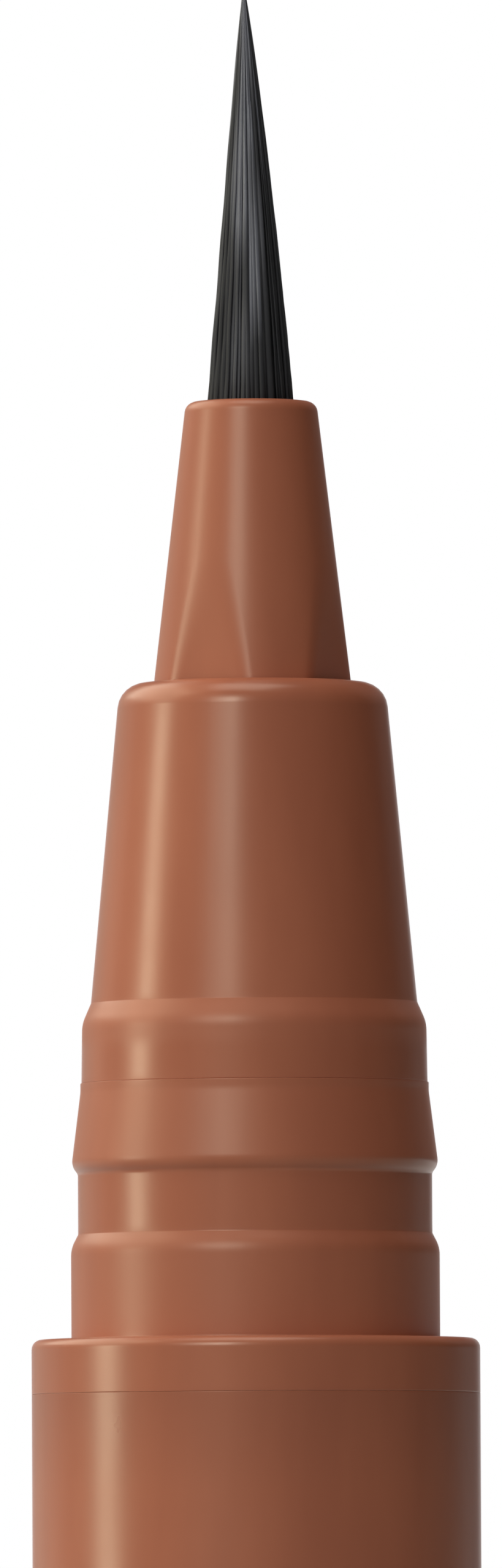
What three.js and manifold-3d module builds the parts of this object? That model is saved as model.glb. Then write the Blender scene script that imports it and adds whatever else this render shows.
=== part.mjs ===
// Brush-tip eyebrow pen with its cap pushed on to the tail, standing upright on the cap's closed end.
// Millimetres, +Z up along the pen, origin at the centre of the cap's flat end, front of the pen at -Y.

import * as THREE from "three";
import { mergeVertices } from "three/addons/utils/BufferGeometryUtils.js";
import Module from "manifold-3d";

const wasm = await Module();
wasm.setup();

// Facets round a turned piece, round the ribbed feed, and along a rounded edge
const ROUND = 32;
const FEED_ROUND = 20;
const EDGE_STEPS = 3;

// Clearances: pressed fits, faces that seat on each other, and sliding fits
const FIT_GAP = 0.03;
const SEAT_GAP = 0.02;
const SLIDE_GAP = 0.06;

// Barrel, which is the ink tank
const BARREL_DIAMETER = 10;
const BARREL_WALL = 0.8;
const BARREL_LENGTH = 84;
const BARREL_EDGE = 0.06;

// Plugs and flanges that close the barrel, and the soft rings that seal them
const FLANGE_THICKNESS = 1.22;
const FLANGE_EDGE = 0.12;
const FRONT_PLUG_LENGTH = 8;
const TAIL_PLUG_LENGTH = 7;
const PLUG_LEAD_IN = 0.3;
const SEAL_RING_SECTION = 0.8;
const SEAL_RING_SIDES = 6;

// Cap seat: seal land, snap groove and snap bead, from the flange towards the tip
const SEAL_LAND_DIAMETER = 8.22;
const SEAL_LAND_LENGTH = 2.03;
const GROOVE_DIAMETER = 7.9;
const GROOVE_LENGTH = 1.35;
const LAND_SLOPE = 0.31;
const BEAD_UNDERSIDE = 0.18;
const BEAD_DIAMETER = 8.18;
const BEAD_TOP_DIAMETER = 7.77;
const BEAD_LENGTH = 1.84;
const SEAT_WALL = 0.65;

// Nose cone
const NOSE_RING_DIAMETER = 7.72;
const NOSE_RING_LENGTH = 1.33;
const NOSE_RING_SHOULDER = 0.46;
const NOSE_BASE_DIAMETER = 7.28;
const NOSE_TOP_DIAMETER = 5.93;
const NOSE_LENGTH = 7.15;
const NOSE_EDGE_RADIUS = 0.6;
const NOSE_ROOF = 1.3;
const NOSE_SPIGOT_WALL = 0.55;
const NOSE_SPIGOT_LENGTH = 3;

// Nozzle that holds the brush, with flats on its foot that let air past into the feed
const NOZZLE_BASE_DIAMETER = 4.4;
const NOZZLE_TOP_DIAMETER = 2.92;
const NOZZLE_LENGTH = 6.29;
const NOZZLE_EDGE_RADIUS = 0.25;
const NOZZLE_LEDGE = 0.3;
const NOZZLE_FLANGE_THICKNESS = 1.2;
const NOZZLE_SLEEVE_LENGTH = 1.6;
const NOZZLE_SLEEVE_WALL = 0.5;
const FLAT_COUNT = 4;
const FLAT_DEPTH = 0.21;
const FLAT_DRAFT = THREE.MathUtils.degToRad(1.5);
const FLAT_TURN = THREE.MathUtils.degToRad(-29);
const FLAT_CUTTER = 12;

// Brush: bristles that converge on a point, and their packed root with its melted heel
const BRUSH_DIAMETER = 1.97;
const BRUSH_LENGTH = 9.39;
const BRUSH_FULLNESS = 0.87;
const BRUSH_LEAN = 0.12;
const BRUSH_ROOT_LENGTH = 5.5;
const HEEL_LEDGE = 0.42;
const HEEL_THICKNESS = 0.8;
const BRISTLE_COUNT = 320;
const BRISTLE_SIDES = 3;
const BRISTLE_RADIUS = 0.034;
const BRISTLE_KNEE = 0.5;
const BRISTLE_KNEE_THICKNESS = 0.8;
const BRISTLE_LEAST_REACH = 0.8;
const BRISTLE_MOST_REACH = 0.96;
const BRISTLE_ROOTED = 0.15;
const GOLDEN_ANGLE = Math.PI * (3 - Math.sqrt(5));

// Feed: a wick inside a ribbed collector that holds back ink when the pen warms up
const WICK_DIAMETER = 1.2;
const WICK_POINT = 0.8;
const WICK_SIDES = 12;
const WICK_OUTREACH = 3;
const FEED_CORE_WALL = 0.75;
const FEED_FLANGE_THICKNESS = 0.9;
const FEED_FLANGE_CLEARANCE = 0.3;
const FEED_NIPPLE_LENGTH = 3;
const FEED_FRONT_CLEARANCE = 0.5;
const RIB_PITCH = 1.5;
const RIB_THICKNESS = 0.6;
const AIR_SLIT_WIDTH = 0.5;

// Loose ball that stirs the ink
const BALL_DIAMETER = 3.5;

// Tail stub that the cap pushes on to
const STUB_LENGTH = 8;
const STUB_EDGE_RADIUS = 0.4;
const STUB_CORE_DIAMETER = 5;
const STUB_CORE_ROOF = 1.5;

// Cap: shell, spring-loaded inner cap that seals on the nose cone, and crown that closes the end
const CAP_WALL = 0.8;
const CAP_EDGE = 0.25;
const SNAP_RIB_LENGTH = 0.5;
const SNAP_RIB_SIDE = 0.3;
const NECK_LENGTH = 1;
const NECK_CLEARANCE = 0.3;
const INNER_CAP_GRIP = 0.07;
const INNER_CAP_WALL = 0.5;
const INNER_CAP_END = 0.8;
const INNER_CAP_COLLAR = 1;
const INNER_CAP_MOUTH = 0.2;
const INNER_CAP_PUSH = 1;
const TIP_CLEARANCE = 1.2;
const SPRING_LENGTH = 3.6;
const SPRING_DIAMETER = 5.4;
const SPRING_WIRE = 0.35;
const SPRING_TURNS = 3.75;
const SPRING_STEPS_PER_TURN = 8;
const SPRING_SIDES = 5;
const CROWN_PLUG_LENGTH = 1.8;
const CROWN_FLANGE_THICKNESS = 1;
const CROWN_EDGE_RADIUS = 0.6;

// Radii that follow from the sizes above
const barrelRadius = BARREL_DIAMETER / 2;
const tankRadius = barrelRadius - BARREL_WALL;
const plugRadius = tankRadius - FIT_GAP;
const ringGrooveRadius = tankRadius - SEAL_RING_SECTION - 2 * SEAT_GAP;
const grooveRadius = GROOVE_DIAMETER / 2;
const noseSocketRadius = grooveRadius - SEAT_WALL;
const noseSpigotRadius = noseSocketRadius - FIT_GAP;
const feedBoreRadius = noseSpigotRadius - NOSE_SPIGOT_WALL;
const noseBaseRadius = NOSE_BASE_DIAMETER / 2;
const noseTopRadius = NOSE_TOP_DIAMETER / 2;
const noseSlope = (noseBaseRadius - noseTopRadius) / NOSE_LENGTH;
const nozzleBaseRadius = NOZZLE_BASE_DIAMETER / 2;
const nozzleTopRadius = NOZZLE_TOP_DIAMETER / 2;
const nozzleSlope = (nozzleBaseRadius - nozzleTopRadius) / NOZZLE_LENGTH;
const nozzleFlangeRadius = nozzleBaseRadius + NOZZLE_LEDGE;
const brushRadius = BRUSH_DIAMETER / 2;
const heelRadius = brushRadius + HEEL_LEDGE;
const heelPocketRadius = heelRadius + FIT_GAP;
const nozzleSleeveRadius = heelPocketRadius + NOZZLE_SLEEVE_WALL;
const wickRadius = WICK_DIAMETER / 2;
const wickBoreRadius = wickRadius + FIT_GAP;
const feedCoreRadius = wickBoreRadius + FEED_CORE_WALL;
const ballRadius = BALL_DIAMETER / 2;

// Heights on the pen, from the shoulder that the cap's rim meets on the tail
const barrelFoot = FLANGE_THICKNESS;
const barrelTop = barrelFoot + BARREL_LENGTH;
const tankFloor = barrelFoot + TAIL_PLUG_LENGTH;
const plugEnd = barrelTop - FRONT_PLUG_LENGTH;
const capStop = barrelTop + FLANGE_THICKNESS;
const landTop = capStop + SEAL_LAND_LENGTH;
const grooveFoot = landTop + LAND_SLOPE;
const grooveTop = grooveFoot + GROOVE_LENGTH;
const beadFoot = grooveTop + BEAD_UNDERSIDE;
const noseFoot = beadFoot + BEAD_LENGTH;
const noseRingTop = noseFoot + NOSE_RING_LENGTH;
const noseConeFoot = noseRingTop + NOSE_RING_SHOULDER;
const noseTop = noseConeFoot + NOSE_LENGTH;
const noseRoof = noseTop - NOSE_ROOF;
const nozzleFlangeFoot = noseRoof - SEAT_GAP - NOZZLE_FLANGE_THICKNESS;
const nozzleFoot = nozzleFlangeFoot - NOZZLE_SLEEVE_LENGTH;
const nozzleTop = noseTop + NOZZLE_LENGTH;
const heelTop = nozzleTop - BRUSH_ROOT_LENGTH;
const heelFoot = heelTop - HEEL_THICKNESS;
const brushTip = nozzleTop + BRUSH_LENGTH;
const feedFront = nozzleFoot - FEED_FRONT_CLEARANCE;
const feedFlangeTop = plugEnd - SEAT_GAP;
const feedFlangeFoot = feedFlangeTop - FEED_FLANGE_THICKNESS;
const feedEnd = feedFlangeFoot - FEED_NIPPLE_LENGTH;
const wickEnd = feedEnd - WICK_OUTREACH;

// Depths in the cap, from its rim; on the front of the pen the rim would meet the cap stop
const snapMiddle = (grooveFoot + grooveTop) / 2 - capStop;
const innerCapRadius = noseTopRadius + INNER_CAP_GRIP;
const innerCapSeal = noseTop - INNER_CAP_GRIP / noseSlope - capStop;
const innerCapMouth = innerCapSeal - INNER_CAP_MOUTH - INNER_CAP_PUSH;
const innerCapRoof = brushTip - capStop + TIP_CLEARANCE - INNER_CAP_PUSH;
const innerCapTop = innerCapRoof + INNER_CAP_END;
const neckTop = innerCapMouth - SEAT_GAP;
const neckFoot = neckTop - NECK_LENGTH;
const springFoot = innerCapTop + SEAT_GAP;
const crownFoot = springFoot + SPRING_LENGTH + SEAT_GAP;
const shellTop = crownFoot + CROWN_PLUG_LENGTH;
const capLength = shellTop + SEAT_GAP + CROWN_FLANGE_THICKNESS;
const capMouthRadius = SEAL_LAND_DIAMETER / 2 + SLIDE_GAP;
const capGuideRadius = barrelRadius - CAP_WALL;
const neckRadius = noseTopRadius + noseSlope * (noseTop - capStop - neckFoot) + NECK_CLEARANCE;

function plastic(color, roughness) {
  return new THREE.MeshStandardMaterial({ color, roughness, metalness: 0 });
}

const brownPlastic = plastic(0xa36147, 0.35);
const clearedPlastic = plastic(0xd9d6cf, 0.45);
const softBlack = plastic(0x232323, 0.8);
const bristleBlack = plastic(0x2b2b2e, 0.5);
const wickFibre = plastic(0x4a3328, 0.9);
const steel = new THREE.MeshStandardMaterial({ color: 0xb9bcc0, roughness: 0.25, metalness: 1 });

function mesh(name, geometry, material) {
  const piece = new THREE.Mesh(geometry, material);
  piece.name = name;
  return piece;
}

// A turned solid about Z from [radius, height] points round its outline, in either direction.
// An outline that starts on the axis also ends on it; any other outline closes on itself.
function turned(outline, segments = ROUND) {
  const closed = outline[0][0] > 0 ? [...outline, outline[0]] : outline;
  const points = closed.map(([radius, height]) => new THREE.Vector2(radius, height));
  if (THREE.ShapeUtils.area(points) < 0) {
    points.reverse();
  }
  return new THREE.LatheGeometry(points, segments).rotateX(Math.PI / 2);
}

// Points of a rounded edge, from a side that narrows upwards by `slope` per millimetre to a flat top.
function roundedEdge(topRadius, top, edgeRadius, slope = 0) {
  const centreRadius = topRadius + edgeRadius * (slope - Math.hypot(1, slope));
  const start = Math.atan(slope);
  const points = [];
  for (let step = 0; step <= EDGE_STEPS; step++) {
    const angle = THREE.MathUtils.lerp(start, Math.PI / 2, step / EDGE_STEPS);
    points.push([
      centreRadius + edgeRadius * Math.cos(angle),
      top - edgeRadius + edgeRadius * Math.sin(angle),
    ]);
  }
  return points;
}

// The same rounded edge on the underside of a piece.
function roundedFoot(footRadius, foot, edgeRadius) {
  return roundedEdge(footRadius, -foot, edgeRadius).map(([radius, height]) => [radius, -height]);
}

// Outline points of a groove round a plug for a seal ring, from its lower to its upper edge.
function ringGroove(middle) {
  const half = SEAL_RING_SECTION / 2 + SEAT_GAP;
  return [
    [plugRadius, middle - half],
    [ringGrooveRadius, middle - half],
    [ringGrooveRadius, middle + half],
    [plugRadius, middle + half],
  ];
}

function solid(geometry) {
  const bare = new THREE.BufferGeometry();
  bare.setAttribute("position", geometry.getAttribute("position"));
  bare.setIndex(geometry.getIndex());
  const merged = mergeVertices(bare);
  const corners = merged.getIndex().array;
  const kept = [];
  for (let i = 0; i < corners.length; i += 3) {
    const [a, b, c] = corners.slice(i, i + 3);
    if (a !== b && b !== c && c !== a) {
      kept.push(a, b, c);
    }
  }
  return new wasm.Manifold(new wasm.Mesh({
    numProp: 3,
    vertProperties: new Float32Array(merged.getAttribute("position").array),
    triVerts: new Uint32Array(kept),
  }));
}

function geometryOf(body) {
  const { vertProperties, triVerts } = body.getMesh();
  const geometry = new THREE.BufferGeometry();
  geometry.setAttribute("position", new THREE.BufferAttribute(vertProperties, 3));
  geometry.setIndex(new THREE.BufferAttribute(triVerts, 1));
  geometry.computeVertexNormals();
  return geometry;
}

function barrel() {
  const outline = [
    [tankRadius, barrelFoot + SEAT_GAP],
    [barrelRadius - BARREL_EDGE, barrelFoot + SEAT_GAP],
    [barrelRadius, barrelFoot + SEAT_GAP + BARREL_EDGE],
    [barrelRadius, barrelTop - SEAT_GAP - BARREL_EDGE],
    [barrelRadius - BARREL_EDGE, barrelTop - SEAT_GAP],
    [tankRadius, barrelTop - SEAT_GAP],
  ];
  return mesh("barrel", turned(outline), brownPlastic);
}

// Flange on the barrel's front end, with the plug below it and the cap's seat above it.
function capSeat() {
  const outline = [
    [feedBoreRadius, plugEnd],
    [plugRadius - PLUG_LEAD_IN, plugEnd],
    [plugRadius, plugEnd + PLUG_LEAD_IN],
    ...ringGroove(plugEnd + FRONT_PLUG_LENGTH / 2),
    [plugRadius, barrelTop],
    [barrelRadius - FLANGE_EDGE, barrelTop],
    [barrelRadius, barrelTop + FLANGE_EDGE],
    [barrelRadius, capStop - FLANGE_EDGE],
    [barrelRadius - FLANGE_EDGE, capStop],
    [SEAL_LAND_DIAMETER / 2, capStop],
    [SEAL_LAND_DIAMETER / 2, landTop],
    [grooveRadius, grooveFoot],
    [grooveRadius, grooveTop],
    [BEAD_DIAMETER / 2, beadFoot],
    [BEAD_TOP_DIAMETER / 2, noseFoot],
    [noseSocketRadius, noseFoot],
    [noseSocketRadius, noseFoot - NOSE_SPIGOT_LENGTH],
    [feedBoreRadius, noseFoot - NOSE_SPIGOT_LENGTH],
  ];
  return mesh("cap_seat", turned(outline), brownPlastic);
}

function noseCone() {
  const flangeBore = nozzleFlangeRadius + FIT_GAP;
  const outline = [
    [feedBoreRadius, noseFoot - NOSE_SPIGOT_LENGTH + SEAT_GAP],
    [noseSpigotRadius, noseFoot - NOSE_SPIGOT_LENGTH + SEAT_GAP],
    [noseSpigotRadius, noseFoot + SEAT_GAP],
    [NOSE_RING_DIAMETER / 2, noseFoot + SEAT_GAP],
    [NOSE_RING_DIAMETER / 2, noseRingTop],
    [noseBaseRadius, noseConeFoot],
    ...roundedEdge(noseTopRadius, noseTop, NOSE_EDGE_RADIUS, noseSlope),
    [nozzleBaseRadius + FIT_GAP, noseTop],
    [nozzleBaseRadius + FIT_GAP, noseRoof],
    [flangeBore, noseRoof],
    [flangeBore, nozzleFlangeFoot],
    [feedBoreRadius, nozzleFlangeFoot],
  ];
  return mesh("nose_cone", turned(outline), brownPlastic);
}

// Cutter for one flat on the nozzle's foot, leaning in by the draft angle as it rises.
function flatCutter(turn) {
  const cutter = new THREE.BoxGeometry(FLAT_CUTTER, FLAT_CUTTER, FLAT_CUTTER);
  cutter.translate(0, -FLAT_CUTTER / 2, 0);
  cutter.rotateX(FLAT_DRAFT);
  cutter.translate(0, FLAT_DEPTH - nozzleBaseRadius, noseTop);
  cutter.rotateZ(turn);
  return solid(cutter);
}

function nozzle() {
  const mouthRadius = brushRadius + FIT_GAP;
  const outline = [
    [heelPocketRadius, nozzleFoot],
    [nozzleSleeveRadius, nozzleFoot],
    [nozzleSleeveRadius, nozzleFlangeFoot],
    [nozzleFlangeRadius, nozzleFlangeFoot],
    [nozzleFlangeRadius, noseRoof - SEAT_GAP],
    [nozzleBaseRadius, noseRoof - SEAT_GAP],
    [nozzleBaseRadius, noseTop],
    ...roundedEdge(nozzleTopRadius, nozzleTop, NOZZLE_EDGE_RADIUS, nozzleSlope),
    [mouthRadius, nozzleTop],
    [mouthRadius, heelTop],
    [heelPocketRadius, heelTop],
  ];
  let body = solid(turned(outline));
  for (let flat = 0; flat < FLAT_COUNT; flat++) {
    body = body.subtract(flatCutter(FLAT_TURN + flat * 2 * Math.PI / FLAT_COUNT));
  }
  return mesh("nozzle", geometryOf(body), brownPlastic);
}

// Share of its full width that the brush has kept at a share of its length from the mouth.
function brushWidth(along) {
  return (1 - along) ** BRUSH_FULLNESS;
}

// Centre of a bristle, which leans with the whole brush, at a share of the brush's length.
function bristleCentre(radius, turn, along) {
  const spread = radius * brushWidth(along);
  return new THREE.Vector3(
    spread * Math.cos(turn) - BRUSH_LEAN * along ** 2,
    spread * Math.sin(turn),
    nozzleTop + BRUSH_LENGTH * along,
  );
}

function bristleRing(centre, thickness) {
  const ring = [];
  for (let side = 0; side < BRISTLE_SIDES; side++) {
    const angle = side * 2 * Math.PI / BRISTLE_SIDES;
    ring.push(new THREE.Vector3(Math.cos(angle), Math.sin(angle), 0).multiplyScalar(thickness).add(centre));
  }
  return ring;
}

// One closed bristle: a root inside the bundle, a knee where it turns in, and a point.
function bristleTriangles(radius, turn, reach) {
  const mouth = bristleCentre(radius, turn, 0);
  const root = bristleRing(mouth.clone().setZ(nozzleTop - BRISTLE_ROOTED), BRISTLE_RADIUS);
  const knee = bristleRing(
    bristleCentre(radius, turn, BRISTLE_KNEE),
    BRISTLE_RADIUS * BRISTLE_KNEE_THICKNESS * brushWidth(BRISTLE_KNEE),
  );
  const point = bristleCentre(radius, turn, reach);
  const triangles = [root[0], root[2], root[1]];
  for (let side = 0; side < BRISTLE_SIDES; side++) {
    const next = (side + 1) % BRISTLE_SIDES;
    triangles.push(root[side], root[next], knee[next]);
    triangles.push(root[side], knee[next], knee[side]);
    triangles.push(knee[side], knee[next], point);
  }
  return triangles;
}

// All bristles in a sunflower pattern; the first, in the middle, runs on to the brush's tip.
function bristles() {
  const corners = [];
  for (let i = 0; i < BRISTLE_COUNT; i++) {
    const radius = (brushRadius - BRISTLE_RADIUS) * Math.sqrt((i + 0.5) / BRISTLE_COUNT);
    const turn = i * GOLDEN_ANGLE;
    const spread = (turn / Math.PI) % 1;
    const reach = THREE.MathUtils.lerp(BRISTLE_LEAST_REACH, BRISTLE_MOST_REACH, spread);
    corners.push(...bristleTriangles(radius, turn, i === 0 ? 1 : reach));
  }
  return new THREE.BufferGeometry().setFromPoints(corners).setIndex([...corners.keys()]);
}

// Bristles on their packed root; the melted heel below it is dimpled for the wick's point.
function brush() {
  const heelSeat = heelTop - SEAT_GAP;
  const root = [
    [0, heelFoot + WICK_POINT / 2],
    [wickBoreRadius, heelFoot],
    [heelRadius, heelFoot],
    [heelRadius, heelSeat],
    [brushRadius, heelSeat],
    [brushRadius, nozzleTop],
    [0, nozzleTop],
  ];
  const body = solid(turned(root)).add(solid(bristles()));
  return mesh("brush", geometryOf(body), bristleBlack);
}

// Rod of bonded fibre from the tank to the brush's heel.
function feedWick() {
  const outline = [
    [0, wickEnd],
    [wickRadius, wickEnd],
    [wickRadius, heelFoot - SEAT_GAP],
    [0, heelFoot + WICK_POINT / 2 - SEAT_GAP],
  ];
  return mesh("feed_wick", turned(outline, WICK_SIDES), wickFibre);
}

// Ribs of the collector, from the flange to the front, as outline points up its outside.
function ribOutline(foot, top, ribRadius) {
  const points = [];
  const count = Math.floor((top - foot) / RIB_PITCH);
  for (let rib = 0; rib < count; rib++) {
    const ribTop = top - (count - 1 - rib) * RIB_PITCH;
    points.push(
      [feedCoreRadius, ribTop - RIB_THICKNESS],
      [ribRadius, ribTop - RIB_THICKNESS],
      [ribRadius, ribTop],
      [feedCoreRadius, ribTop],
    );
  }
  return points;
}

// Collector: a tube with ribs, slit along one side for air, with a nose that holds the brush's heel.
function collector() {
  const ribRadius = feedBoreRadius - FIT_GAP;
  const flangeRadius = tankRadius - FEED_FLANGE_CLEARANCE;
  const noseTip = heelFoot - SEAT_GAP;
  const outline = [
    [wickBoreRadius, feedEnd],
    [feedCoreRadius, feedEnd],
    [feedCoreRadius, feedFlangeFoot],
    [flangeRadius, feedFlangeFoot],
    [flangeRadius, feedFlangeTop],
    [feedCoreRadius, feedFlangeTop],
    ...ribOutline(feedFlangeTop, feedFront, ribRadius),
    [feedCoreRadius, noseTip],
    [wickBoreRadius, noseTip],
  ];
  const slitLength = feedFront - feedFlangeTop;
  const slitDepth = feedBoreRadius - feedCoreRadius;
  const slit = new THREE.BoxGeometry(slitDepth, AIR_SLIT_WIDTH, slitLength);
  slit.translate(feedCoreRadius + slitDepth / 2, 0, (feedFront + feedFlangeTop) / 2);
  const body = solid(turned(outline, FEED_ROUND)).subtract(solid(slit));
  return mesh("collector", geometryOf(body), clearedPlastic);
}

function sealRing(name, middle) {
  const section = SEAL_RING_SECTION / 2;
  const ring = new THREE.TorusGeometry(tankRadius - SEAT_GAP - section, section, SEAL_RING_SIDES, ROUND);
  return mesh(name, ring.translate(0, 0, middle), softBlack);
}

function stirringBall() {
  const ball = new THREE.SphereGeometry(ballRadius, 16, 10).rotateX(Math.PI / 2);
  return mesh("stirring_ball", ball.translate(0, 0, tankFloor + SEAT_GAP + ballRadius), steel);
}

// Plug in the barrel's tail, with the flange that the cap stops on and the stub that it pushes on to.
function tailPlug() {
  const coreRadius = STUB_CORE_DIAMETER / 2;
  const coreTop = tankFloor - STUB_CORE_ROOF;
  const outline = [
    [0, coreTop],
    [coreRadius, coreTop],
    [coreRadius, -STUB_LENGTH],
    ...roundedFoot(grooveRadius, -STUB_LENGTH, STUB_EDGE_RADIUS).reverse(),
    [grooveRadius, 0],
    [barrelRadius - CAP_EDGE, 0],
    [barrelRadius, CAP_EDGE],
    [barrelRadius, barrelFoot - FLANGE_EDGE],
    [barrelRadius - FLANGE_EDGE, barrelFoot],
    [plugRadius, barrelFoot],
    ...ringGroove(barrelFoot + TAIL_PLUG_LENGTH / 2),
    [plugRadius, tankFloor - PLUG_LEAD_IN],
    [plugRadius - PLUG_LEAD_IN, tankFloor],
    [0, tankFloor],
  ];
  return mesh("tail_plug", turned(outline), brownPlastic);
}

// Cap shell from its rim: bore with the snap rib, neck that stops the inner cap, guide bore.
function capShell() {
  const ribRadius = grooveRadius + SLIDE_GAP;
  const ribHalf = SNAP_RIB_LENGTH / 2;
  const outline = [
    [capMouthRadius, SEAT_GAP],
    [barrelRadius - CAP_EDGE, SEAT_GAP],
    [barrelRadius, SEAT_GAP + CAP_EDGE],
    [barrelRadius, shellTop - BARREL_EDGE],
    [barrelRadius - BARREL_EDGE, shellTop],
    [capGuideRadius, shellTop],
    [capGuideRadius, neckTop],
    [neckRadius, neckTop],
    [neckRadius, neckFoot],
    [capMouthRadius, neckFoot],
    [capMouthRadius, snapMiddle + ribHalf + SNAP_RIB_SIDE],
    [ribRadius, snapMiddle + ribHalf],
    [ribRadius, snapMiddle - ribHalf],
    [capMouthRadius, snapMiddle - ribHalf - SNAP_RIB_SIDE],
  ];
  return mesh("cap_shell", turned(outline), brownPlastic);
}

// Inner cap: a cup with a collar at its mouth, which the spring holds against the shell's neck.
function innerCap() {
  const outerRadius = innerCapRadius + INNER_CAP_WALL;
  const collarRadius = capGuideRadius - SLIDE_GAP;
  const outline = [
    [0, innerCapRoof],
    [innerCapRadius, innerCapRoof],
    [innerCapRadius, innerCapMouth + INNER_CAP_MOUTH],
    [innerCapRadius + INNER_CAP_MOUTH, innerCapMouth],
    [collarRadius, innerCapMouth],
    [collarRadius, innerCapMouth + INNER_CAP_COLLAR],
    [outerRadius, innerCapMouth + INNER_CAP_COLLAR],
    ...roundedEdge(outerRadius, innerCapTop, INNER_CAP_WALL),
    [0, innerCapTop],
  ];
  return mesh("inner_cap", turned(outline), clearedPlastic);
}

// Centre line of the spring between the inner cap and the crown.
class SpringLine extends THREE.Curve {
  getPoint(along, target = new THREE.Vector3()) {
    const angle = along * SPRING_TURNS * 2 * Math.PI;
    const radius = (SPRING_DIAMETER - SPRING_WIRE) / 2;
    const height = THREE.MathUtils.lerp(SPRING_WIRE / 2, SPRING_LENGTH - SPRING_WIRE / 2, along);
    return target.set(radius * Math.cos(angle), radius * Math.sin(angle), springFoot + height);
  }
}

// Least gap between points of the wire that lie more than half a turn apart.
function leastGap(line, wire, steps, stepsPerTurn) {
  const points = line.getPoints(steps);
  let least = Infinity;
  for (let i = 0; i <= steps; i++) {
    for (let j = i + stepsPerTurn / 2; j <= steps; j++) {
      least = Math.min(least, points[i].distanceTo(points[j]) - wire);
    }
  }
  return least;
}

function capSpring() {
  const line = new SpringLine();
  const steps = SPRING_TURNS * SPRING_STEPS_PER_TURN;
  const circle = new THREE.EllipseCurve(0, 0, SPRING_WIRE / 2, SPRING_WIRE / 2);
  const section = new THREE.Shape(circle.getPoints(SPRING_SIDES).slice(1));
  const wire = new THREE.ExtrudeGeometry(section, {
    steps,
    extrudePath: line,
    bevelEnabled: false,
  });
  const gap = leastGap(line, SPRING_WIRE, steps, SPRING_STEPS_PER_TURN);
  console.log(`cap_spring: least gap to itself ${gap.toFixed(2)} mm`);
  return mesh("cap_spring", wire, steel);
}

function crown() {
  const plug = capGuideRadius - FIT_GAP;
  const outline = [
    [0, crownFoot],
    [plug - PLUG_LEAD_IN, crownFoot],
    [plug, crownFoot + PLUG_LEAD_IN],
    [plug, shellTop + SEAT_GAP],
    [barrelRadius, shellTop + SEAT_GAP],
    ...roundedEdge(barrelRadius, capLength, CROWN_EDGE_RADIUS),
    [0, capLength],
  ];
  return mesh("crown", turned(outline), brownPlastic);
}

// The pen stands with its tail shoulder on the rim of the cap.
function pen() {
  const group = new THREE.Group();
  group.position.z = capLength;
  group.add(
    brush(),
    nozzle(),
    noseCone(),
    capSeat(),
    collector(),
    feedWick(),
    sealRing("front_seal_ring", plugEnd + FRONT_PLUG_LENGTH / 2),
    barrel(),
    stirringBall(),
    sealRing("tail_seal_ring", barrelFoot + TAIL_PLUG_LENGTH / 2),
    tailPlug(),
  );
  return group;
}

// The cap is drawn rim down, as it sits on the front of the pen, and turned over on to the tail.
function cap() {
  const group = new THREE.Group();
  group.position.z = capLength;
  group.rotation.x = Math.PI;
  group.add(capShell(), innerCap(), capSpring(), crown());
  return group;
}

const eyebrowPen = new THREE.Group();
eyebrowPen.name = "eyebrow_pen";
eyebrowPen.add(pen(), cap());

export default eyebrowPen;
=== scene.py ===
"""Looks of the brush-tip eyebrow pen: smooth moulded pieces, a wet brush and a plain studio."""

import math
import random

import bmesh
import bpy
from mathutils import Matrix, Vector


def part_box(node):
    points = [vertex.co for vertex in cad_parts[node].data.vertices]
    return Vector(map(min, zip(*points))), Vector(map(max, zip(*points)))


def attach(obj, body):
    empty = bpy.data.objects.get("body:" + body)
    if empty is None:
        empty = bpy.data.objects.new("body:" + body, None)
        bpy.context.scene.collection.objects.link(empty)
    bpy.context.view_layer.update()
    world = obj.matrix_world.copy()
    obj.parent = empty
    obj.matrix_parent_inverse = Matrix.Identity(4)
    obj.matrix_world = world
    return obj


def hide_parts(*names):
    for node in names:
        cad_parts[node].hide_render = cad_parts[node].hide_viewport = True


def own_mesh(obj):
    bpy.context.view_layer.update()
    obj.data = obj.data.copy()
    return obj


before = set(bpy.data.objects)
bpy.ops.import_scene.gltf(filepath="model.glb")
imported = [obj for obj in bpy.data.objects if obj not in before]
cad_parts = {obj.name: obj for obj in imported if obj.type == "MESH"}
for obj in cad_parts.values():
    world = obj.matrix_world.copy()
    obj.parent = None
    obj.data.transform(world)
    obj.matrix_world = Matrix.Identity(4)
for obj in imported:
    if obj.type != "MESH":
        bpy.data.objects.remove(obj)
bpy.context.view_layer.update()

MM = 0.001
TINY = 1e-6
GOLDEN_ANGLE = math.pi * (3 - math.sqrt(5))

# Facets round a turned piece and along a rounded edge
AROUND = 192
EDGE_STEPS = 6

# Share of a side that a rounding may take, half the widest angle that is rounded,
# and the spare loop beside an edge in mm
CORNER_SHARE = 0.8
WIDEST_HALF = math.radians(89)
SUPPORT = 0.03

# Places of the colour sockets on a mix node
MIX_FIRST = 6
MIX_SECOND = 7
MIX_RESULT = 2

# Softness of a painted band's ends, in mm
BAND_EDGE = 0.15

# Rounding of moulded edges in mm: a hairline seam, a crisp edge and an ordinary one
SEAM = 0.01
CRISP = 0.03
EDGE = 0.07

# Barrel, plugs, seal rings and stirring ball, in mm as all sizes of the part are
SEAT_GAP = 0.02
SEAM_GAP = 0.002
BARREL_RADIUS = 5.0
TANK_RADIUS = 4.2
PLUG_RADIUS = 4.17
PLUG_LEAD_IN = 0.3
RING_GROOVE_RADIUS = 3.36
RING_GROOVE_HALF = 0.42
SEAL_RING_SECTION = 0.8
SEAL_RING_STEPS = 24
BALL_STEPS = 48
FRONT_PLUG_LENGTH = 8.0
TAIL_PLUG_LENGTH = 7.0
FLANGE_THICKNESS = 1.22
FLANGE_EDGE = 0.22

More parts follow.
